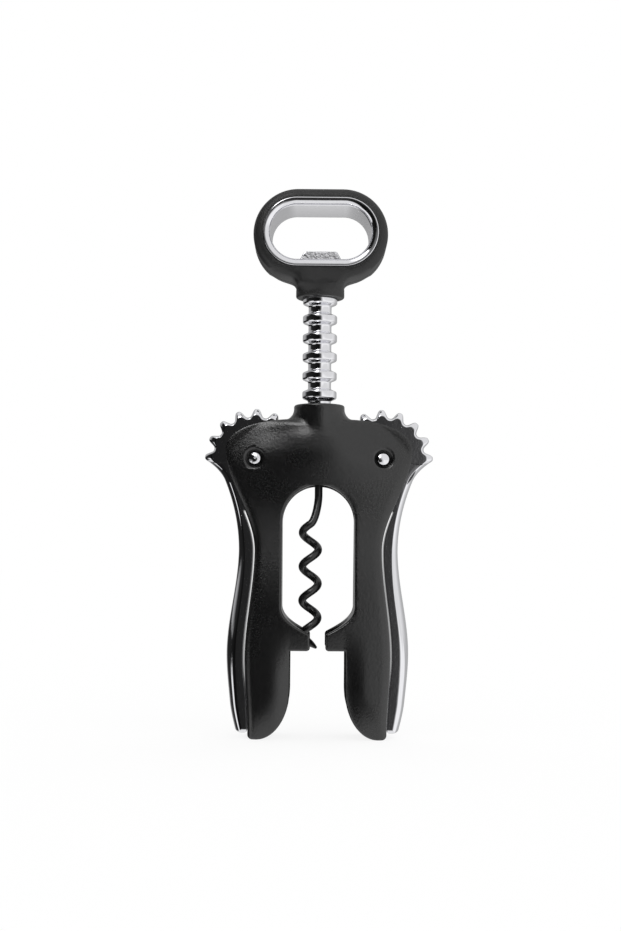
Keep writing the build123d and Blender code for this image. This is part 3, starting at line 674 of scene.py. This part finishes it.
def arm_lines(height):
    """Inner line, outer line, bow and half depth of the right arm at heights."""
    waist = SIDE_LINE[1][1]
    leg = SIDE_LINE[2][1]
    bend = np.minimum(height, ARM_BEND)
    inner = side_half_width(bend) + LEVER_GAP - (height - bend) * ARM_DRAW
    fullness = np.sin(np.clip((height - ARM_TIP) / ARM_TAPER, 0, 1) * np.pi / 2) ** ARM_TIP_FULLNESS
    width = ARM_WIDTH + ARM_SWELL * np.exp(-(((height - ARM_SWELL_Z) / ARM_SWELL_SPREAD) ** 2))
    straight = inner + ARM_TIP_WIDTH + (width - ARM_TIP_WIDTH) * fullness
    close_low, close_high = ARM_CLOSE_BAND
    inner = inner - ARM_CLOSE * ease((close_high - height) / (close_high - close_low))
    start = np.interp(waist, height, straight)
    end = PIVOT_X + np.sqrt(ARM_TOP_RADIUS**2 - (PIVOT_Z - ARM_TOP) ** 2)
    share = np.clip((height - waist) / (ARM_TOP - waist), 0, 1)
    flare = np.clip((height - ARM_FLARE_Z) / (ARM_TOP - ARM_FLARE_Z), 0, 1)
    raised = start + (end - start) * share**2 + ARM_FLARE * flare**2
    outer = np.where(height <= waist, straight, raised)
    belly = np.exp(-(((height - ARM_BELLY_Z) / ARM_BELLY_SPREAD) ** 2))
    bow = np.minimum(ARM_BOW + ARM_BELLY * belly, (outer - inner) / 2)
    low_depth = ARM_TIP_DEPTH + (ARM_HALF_DEPTH - ARM_TIP_DEPTH) * fullness
    climb = ease((height - leg) / (ARM_BEND - leg))
    high_depth = ARM_HALF_DEPTH + (ARM_ROOT_DEPTH - ARM_HALF_DEPTH) * climb
    return inner, outer, bow, np.where(height <= leg, low_depth, high_depth)


def arm_surface(sign):
    """Lever arm: a D-shaped section carried down the leg.

    The section has a flat front, back and inner face and a bowed outer one, an arc of the arm's bow over
    its depth. The edge between front and arc softens downwards, and the tip closes on a quarter circle.
    """
    t = np.linspace(0, np.pi / 2, ARM_TIP_ROWS)
    tip = ARM_TIP + ARM_TIP_ROUND * (1 - np.cos(t))
    shrink = np.concatenate([np.sin(t), np.ones(ARM_ROWS)])[:, None]
    height = np.concatenate([tip, np.linspace(ARM_TIP + ARM_TIP_ROUND, ARM_TOP, ARM_ROWS + 1)[1:]])
    inner, outer, bow, depth = (line[:, None] for line in arm_lines(height))
    face_end = outer - bow
    opening = 2 * np.arctan(bow / depth)
    zero = np.zeros_like(inner)
    one = np.ones_like(inner)
    arc_radius = depth / np.sin(opening)
    inner_reach = np.minimum(ARM_INNER_EDGE, (face_end - inner) / 3)
    soft_low, soft_high = ARM_SOFT_BAND
    softening = ease((soft_high - height) / (soft_high - soft_low))[:, None]
    outer_reach = ARM_OUTER_EDGE + (ARM_SOFT_EDGE - ARM_OUTER_EDGE) * softening
    outer_reach = np.minimum(outer_reach, (face_end - inner) / 3)
    inner_corner = corner(
        np.concatenate([inner, -depth], 1),
        np.concatenate([zero, one], 1),
        np.concatenate([one, zero], 1),
        inner_reach,
        ARM_EDGE_STEPS,
    )
    outer_corner = corner(
        np.concatenate([face_end, -depth], 1),
        np.concatenate([-one, zero], 1),
        np.concatenate([np.sin(opening), np.cos(opening)], 1),
        outer_reach,
        ARM_EDGE_STEPS,
    )
    swing = opening - outer_reach / arc_radius
    share = np.linspace(1, 0, ARM_ARC_STEPS)[None, 1:]
    arc = np.stack(
        [
            outer - arc_radius * (1 - np.cos(swing * share)),
            -arc_radius * np.sin(swing * share),
        ],
        -1,
    )
    wall = np.linspace(0, 1, ARM_FACE_STEPS)[None, :-1, None]
    inner_wall = wall * inner_corner[:, :1] + (1 - wall) * np.stack([inner, zero], -1)
    flat = np.linspace(0, 1, ARM_FACE_STEPS)[None, 1:-1, None]
    front = inner_corner[:, -1:] + flat * (outer_corner[:, :1] - inner_corner[:, -1:])
    half = np.concatenate([inner_wall, inner_corner, front, outer_corner, arc], 1)
    other = half[:, -2:0:-1] * np.array([1, -1])
    section = np.concatenate([half, other], 1)
    middle = np.concatenate([(inner + outer) / 2, zero], 1)[:, None]
    section = middle + (section - middle) * shrink[:, None]
    flat_height = np.broadcast_to(height[:, None], section.shape[:2])
    tube = np.stack([sign * section[..., 0], section[..., 1], flat_height], -1)
    top = tube[-1:].mean(1, keepdims=True) + 0 * tube[-1:]
    return [(np.concatenate([tube, top]), False, True)]


def loop_path(inset, columns):
    """Stadium round the handle's loop, inset from its outside: half circles joined by straights."""
    radius = OPENER_HALF_HEIGHT - inset
    run = OPENER_HALF_WIDTH - OPENER_HALF_HEIGHT
    length = 4 * run + TAU * radius
    s = np.linspace(0, length, columns, endpoint=False)
    half = length / 2
    t = s % half
    side = np.where(s < half, 1.0, -1.0)
    swing = np.clip((t - 2 * run) / radius, 0, np.pi)
    along = np.where(t < 2 * run, run - t, -run)
    x = side * (along - radius * np.sin(swing))
    z = side * radius * np.cos(swing)
    out = np.stack([-side * np.sin(swing), side * np.cos(swing)], -1)
    return np.stack([x, z], -1), out


def opener_surface():
    """Lining of the loop: a wall section carried round the stadium. The section is the wall's rectangle,
    rolled over towards the opening at both rims, and its inner side draws in evenly from front to back."""
    path, out = loop_path(BEAD_WIDTH / 2, LOOP_COLUMNS)
    half, deep = BEAD_WIDTH / 2, OPENER_HALF_DEPTH
    outline = np.array(
        [[half, 0], [half, deep], [-half, deep], [-half, -deep], [half, -deep], [half, 0]], float
    )
    section = eased_corners(outline, [BEAD_EDGE, BEAD_ROLL, BEAD_ROLL, BEAD_EDGE], BEAD_STEPS)[:-1]
    offset, depth = section.T
    offset = offset - WALL_TAPER * np.clip(-offset / half, 0, 1) * (depth + deep) / (2 * deep)
    spot = path[:, None] + out[:, None] * offset[None, :, None]
    depth = np.broadcast_to(depth, spot.shape[:2])
    return [(np.stack([spot[..., 0], depth, OPENER_Z + spot[..., 1]], -1), True, True)]


def lip_surface():
    """Cap-lifting lip: a plate with rounded rims on a trapezoid with eased corners, leaning back a little.
    Towards each face the outline is drawn in by edge * (1 - sin t) over a depth of edge * (1 - cos t), and
    one more ring inside the rim keeps the face flat."""
    outline = np.array(
        [
            [0, LIP_TOP],
            [LIP_TOP_HALF, LIP_TOP],
            [LIP_BASE_HALF, LIP_ROOT],
            [LIP_BASE_HALF, LIP_FOOT],
            [-LIP_BASE_HALF, LIP_FOOT],
            [-LIP_BASE_HALF, LIP_ROOT],
            [-LIP_TOP_HALF, LIP_TOP],
            [0, LIP_TOP],
        ]
    )
    outline = eased_corners(outline, LIP_CORNER, EDGE_STEPS)[:-1]
    middle = outline.mean(0)
    away = outline - middle
    size = np.linalg.norm(away, axis=1, keepdims=True)
    t = np.linspace(0, np.pi / 2, LIP_ROWS)
    draw = LIP_EDGE * np.concatenate([[LIP_RIM], 1 - np.sin(t), 1 - np.cos(t), [LIP_RIM]])
    back = LIP_THICKNESS - LIP_EDGE * (1 - np.sin(t))
    depth = np.concatenate([[0, 0], LIP_EDGE * (1 - np.cos(t)), back, [LIP_THICKNESS] * 2])[:, None]
    rows = middle + away[None] * (1 - draw[:, None, None] / size[None])
    centre = np.broadcast_to(middle, (1, *outline.shape))
    rows = np.concatenate([centre, rows, centre])
    depth = LIP_FRONT + depth + LIP_LEAN * (rows[..., 1] - LIP_ROOT)
    return [(np.stack([rows[..., 0], depth, rows[..., 1]], -1), False, True)]


def worm_surface():
    """Wire of the worm: a circle carried along a straight shank, a bend (the cubic that keeps both
    headings), a helix that passes through the axis, and a blunt point that narrows with the square of
    its length."""
    bend_top = np.array([0, 0, COIL_START_Z + NECK_BEND])
    shank = np.linspace([0, 0, WORM_TOP], bend_top, SHANK_ROWS, endpoint=False)
    angle = COIL_START - np.linspace(0, TAU * COIL_TURNS, COIL_ROWS)
    lift = COIL_START_Z + COIL_PITCH * (angle - COIL_START) / TAU
    coil = np.stack([COIL_RADIUS * (np.cos(angle) - 1), COIL_RADIUS * np.sin(angle), lift], -1)
    fall = COIL_PITCH / TAU
    round_axis = (COIL_RADIUS * np.sin(angle), -COIL_RADIUS * np.cos(angle))
    heading = np.stack([*round_axis, -fall + 0 * angle], -1)
    heading /= np.linalg.norm(heading, axis=1, keepdims=True)
    pull = BEND_PULL * np.linalg.norm(coil[0] - bend_top)
    t = np.linspace(0, 1, BEND_ROWS, endpoint=False)[:, None]
    bend = (
        (2 * t**3 - 3 * t**2 + 1) * bend_top
        + (t**3 - 2 * t**2 + t) * pull * np.array([0, 0, -1])
        + (3 * t**2 - 2 * t**3) * coil[0]
        + (t**3 - t**2) * pull * heading[0]
    )
    reach = np.linspace(0, TIP_LENGTH, TIP_ROWS)[1:, None]
    point = coil[-1] + reach * heading[-1]
    centre = np.concatenate([shank, bend, coil, point])
    narrow = 1 - (1 - TIP_RADIUS / WIRE_RADIUS) * (reach[:, 0] / TIP_LENGTH) ** 2
    radius = np.concatenate([np.full(len(centre) - len(point), WIRE_RADIUS), WIRE_RADIUS * narrow])
    forward = np.gradient(centre, axis=0)
    forward /= np.linalg.norm(forward, axis=1, keepdims=True)
    across = np.cross(forward, [1.0, 0.0, 0.0])
    across /= np.linalg.norm(across, axis=1, keepdims=True)
    other = np.cross(forward, across)
    turn = np.linspace(0, TAU, WIRE_COLUMNS, endpoint=False)[None, :, None]
    ring = np.cos(turn) * across[:, None] + np.sin(turn) * other[:, None]
    tube = centre[:, None] + radius[:, None, None] * ring
    first = np.broadcast_to(centre[:1, None], tube[:1].shape)
    last = np.broadcast_to(centre[-1:, None], tube[:1].shape)
    return [(np.concatenate([first, tube, last]), False, True)]


def soften_grip(node, material):
    """Copy of a grip half, cut into small faces, with its neck widened about the axis. Between neck and
    loop each point then moves halfway to the mean of its neighbours, round by round, but not at the seam
    between the halves."""
    mesh = refined(node)
    spots = mesh_spots(mesh)
    outside = np.hypot(spots[:, 0], spots[:, 1]) > NECK_INSIDE
    climb = ease((spots[:, 2] - NECK_BAND[0]) / (NECK_BAND[1] - NECK_BAND[0]))
    spots[:, :2] *= 1 + NECK_WIDEN * ((1 - climb) * outside)[:, None]
    soft = (outside & (climb > 0) & (climb < 1) & (np.abs(spots[:, 1]) > SEAM_REACH))[:, None]
    ends = np.empty(2 * len(mesh.edges), int)
    mesh.edges.foreach_get("vertices", ends)
    first, second = ends.reshape(-1, 2).T
    neighbours = np.bincount(ends, minlength=len(spots))[:, None]
    for _ in range(NECK_ROUNDS):
        total = np.zeros_like(spots)
        np.add.at(total, first, spots[second])
        np.add.at(total, second, spots[first])
        spots = np.where(soft, (spots + total / neighbours) / 2, spots)
    mesh.vertices.foreach_set("co", (spots * MM).ravel())
    settle(smoothed(f"{node}_skin", mesh, CREASE), "rack", node, material)


def dress(finish, *nodes):
    """Gives CAD nodes a finish."""
    for node in nodes:
        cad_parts[node].data.materials.clear()
        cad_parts[node].data.materials.append(finish)


plastic = grained_plastic()
rubber = satin_rubber()
chrome = chrome_plate("chrome_plate")
struck = chrome_plate("struck_chrome", dents=0.3, haze_depth=0.3, pit_scale=1.7)
cast = chrome_plate("cast_chrome", dents=0.22, haze_depth=0.3)
lining = chrome_plate("satin_chrome", satin_depth=OPENER_HALF_DEPTH - BEAD_ROLL)
wire = coated_wire()
steel = plain_steel()
nylon = guide_nylon()

dress(nylon, "guide_bush")
dress(steel, "left_front_washer", "left_back_washer", "right_front_washer", "right_back_washer")
dress(steel, "worm_pin", "handle_pin")
soften_grip("grip_front", rubber)
soften_grip("grip_back", rubber)
swell_frame("frame_front_shell", plastic)
swell_frame("frame_back_shell", plastic)

lay_surface("rack_bar", rack_surface(), "rack", "rack", chrome)
lay_surface("opener_lining", opener_surface(), "rack", "opener_ring", lining)
lay_surface("opener_lip", lip_surface(), "rack", "opener_ring", cast)
lay_surface("worm_wire", worm_surface(), "rack", "worm", wire)
for side, sign in (("left", -1), ("right", 1)):
    swell_frame(f"{side}_pivot_rivet", struck, slim=RIVET_SLIM)
    swell_frame(f"{side}_rivet_cap", chrome)
    swell_frame(f"{side}_leg_screw", steel)
    lever = f"{side}_lever"
    lay_surface(f"{lever}_gear", gear_surface(sign), lever, lever, chrome)
    lay_surface(f"{lever}_arm", arm_surface(sign), lever, lever, chrome)


def studio_world():
    """White to the camera. Gloss sees a studio by direction: black cards in front and on the left up to a
    little above the lens, a white card low on the left, a bright wall on the right, grey behind, white
    overhead with a lamp on the left, and a pale table below. Matt surfaces get soft light, stronger from
    the right and above. Each ramp goes once round, from behind over the left, the front and the right."""
    world = bpy.data.worlds.new("studio")
    world.use_nodes = True
    world.cycles.sampling_method = "NONE"
    bpy.context.scene.world = world
    tree = Tree(world.node_tree)
    way = tree.node("ShaderNodeTexCoord", {}, {}, 0)
    x, y, z = (tree.along(way, axis) for axis in range(3))
    turn = x.math("ARCTAN2", x, -y) / TAU + 0.5
    fade = ((0.86, SIDE_GREY), (1.0, BACK_GREY))
    walls = turn.ramp(
        (0.0, BACK_GREY), (0.2, SIDE_GREY), (0.28, CARD_BLACK), (0.43, CARD_BLACK), (0.51, FRONT_GREY),
        (0.57, WALL_LIGHT), (0.71, WALL_LIGHT), *fade,
    )
    right = ((0.48, 0.004), (0.511, 0.04), (0.53, 0.4), (0.555, 1.0), (0.75, 1.0), *fade)
    low_cards = turn.ramp((0.0, BACK_GREY), (0.05, BACK_GREY), (0.09, 0.02), *right)
    high_cards = turn.ramp((0.0, BACK_GREY), (0.17, BACK_GREY), (0.23, 0.02), *right)
    lit = tree.blend(z.rise(0.05, 0.1), low_cards, high_cards)
    lit = tree.blend(z.rise(0.19, 0.25), lit, walls)
    lamp = 0.8 + (-x).rise(0.05, 0.36) * (-y).rise(0.4, 0.7) * 8.5
    climb = z + x * 0.5 - y * 0.25
    lit = tree.blend(climb.rise(0.5, 0.66), lit, lamp)
    below = -z - abs(x) * 0.5
    lit = tree.blend(below.rise(0.2, 0.42), lit, (0.85, 0.85, 0.85, 1))
    side_card = turn.ramp((0.25, 0.0), (0.29, 1.0), (0.36, 1.0), (0.38, 0.0))
    lit = tree.blend(side_card * (-z).rise(0.06, 0.16), lit, WHITE)
    soft = 0.85 + x * 0.3 + z * 0.25
    path = {
        name: tree.node("ShaderNodeLightPath", {}, {}, name)
        for name in ("Is Camera Ray", "Is Glossy Ray", "Is Transmission Ray")
    }
    lit = tree.blend(path["Is Glossy Ray"], soft, lit)
    lit = tree.blend(path["Is Camera Ray"] + path["Is Transmission Ray"], lit, WHITE)
    glow = tree.node("ShaderNodeBackground", {}, {"Color": lit, "Strength": 1.0})
    tree.node("ShaderNodeOutputWorld", {}, {"Surface": glow})


def studio_floor():
    """Pale floor, white to the camera but for the object's faint shadow."""
    material, tree = new_finish("studio_floor")
    paper = tree.node("ShaderNodeBsdfDiffuse", {}, {"Color": (0.985, 0.985, 0.985, 1)})
    white = tree.node("ShaderNodeEmission", {}, {"Color": WHITE, "Strength": 1.0})
    seen = tree.node("ShaderNodeLightPath", {}, {}, "Is Camera Ray")
    both = tree.node("ShaderNodeMixShader", {}, {0: seen * 0.85, 1: paper, 2: white})
    tree.node("ShaderNodeOutputMaterial", {}, {"Surface": both})
    mesh = bpy.data.meshes.new("studio_floor")
    far = FLOOR_REACH
    corners = [(-far, -far, 0), (far, -far, 0), (far, far, 0), (-far, far, 0)]
    mesh.from_pydata(corners, [], [(0, 1, 2, 3)])
    mesh.materials.append(material)
    floor = bpy.data.objects.new("studio_floor", mesh)
    floor.visible_glossy = False
    bpy.context.scene.collection.objects.link(floor)


def studio_camera():
    """Level camera in front, shifted up to frame the whole object as the photograph does, and rolled a
    little as it is there."""
    lens = bpy.data.cameras.new("camera")
    lens.lens = LENS
    lens.sensor_width = SENSOR_WIDTH
    lens.shift_y = LENS_SHIFT
    lens.clip_start = CLIP_START
    camera = bpy.data.objects.new("camera", lens)
    camera.location = [value * MM for value in CAMERA_PLACE]
    camera.rotation_euler = (np.pi / 2, CAMERA_ROLL, 0)
    bpy.context.scene.collection.objects.link(camera)
    bpy.context.scene.camera = camera


studio_world()
studio_floor()
studio_camera()
bpy.context.scene.view_settings.view_transform = "Standard"
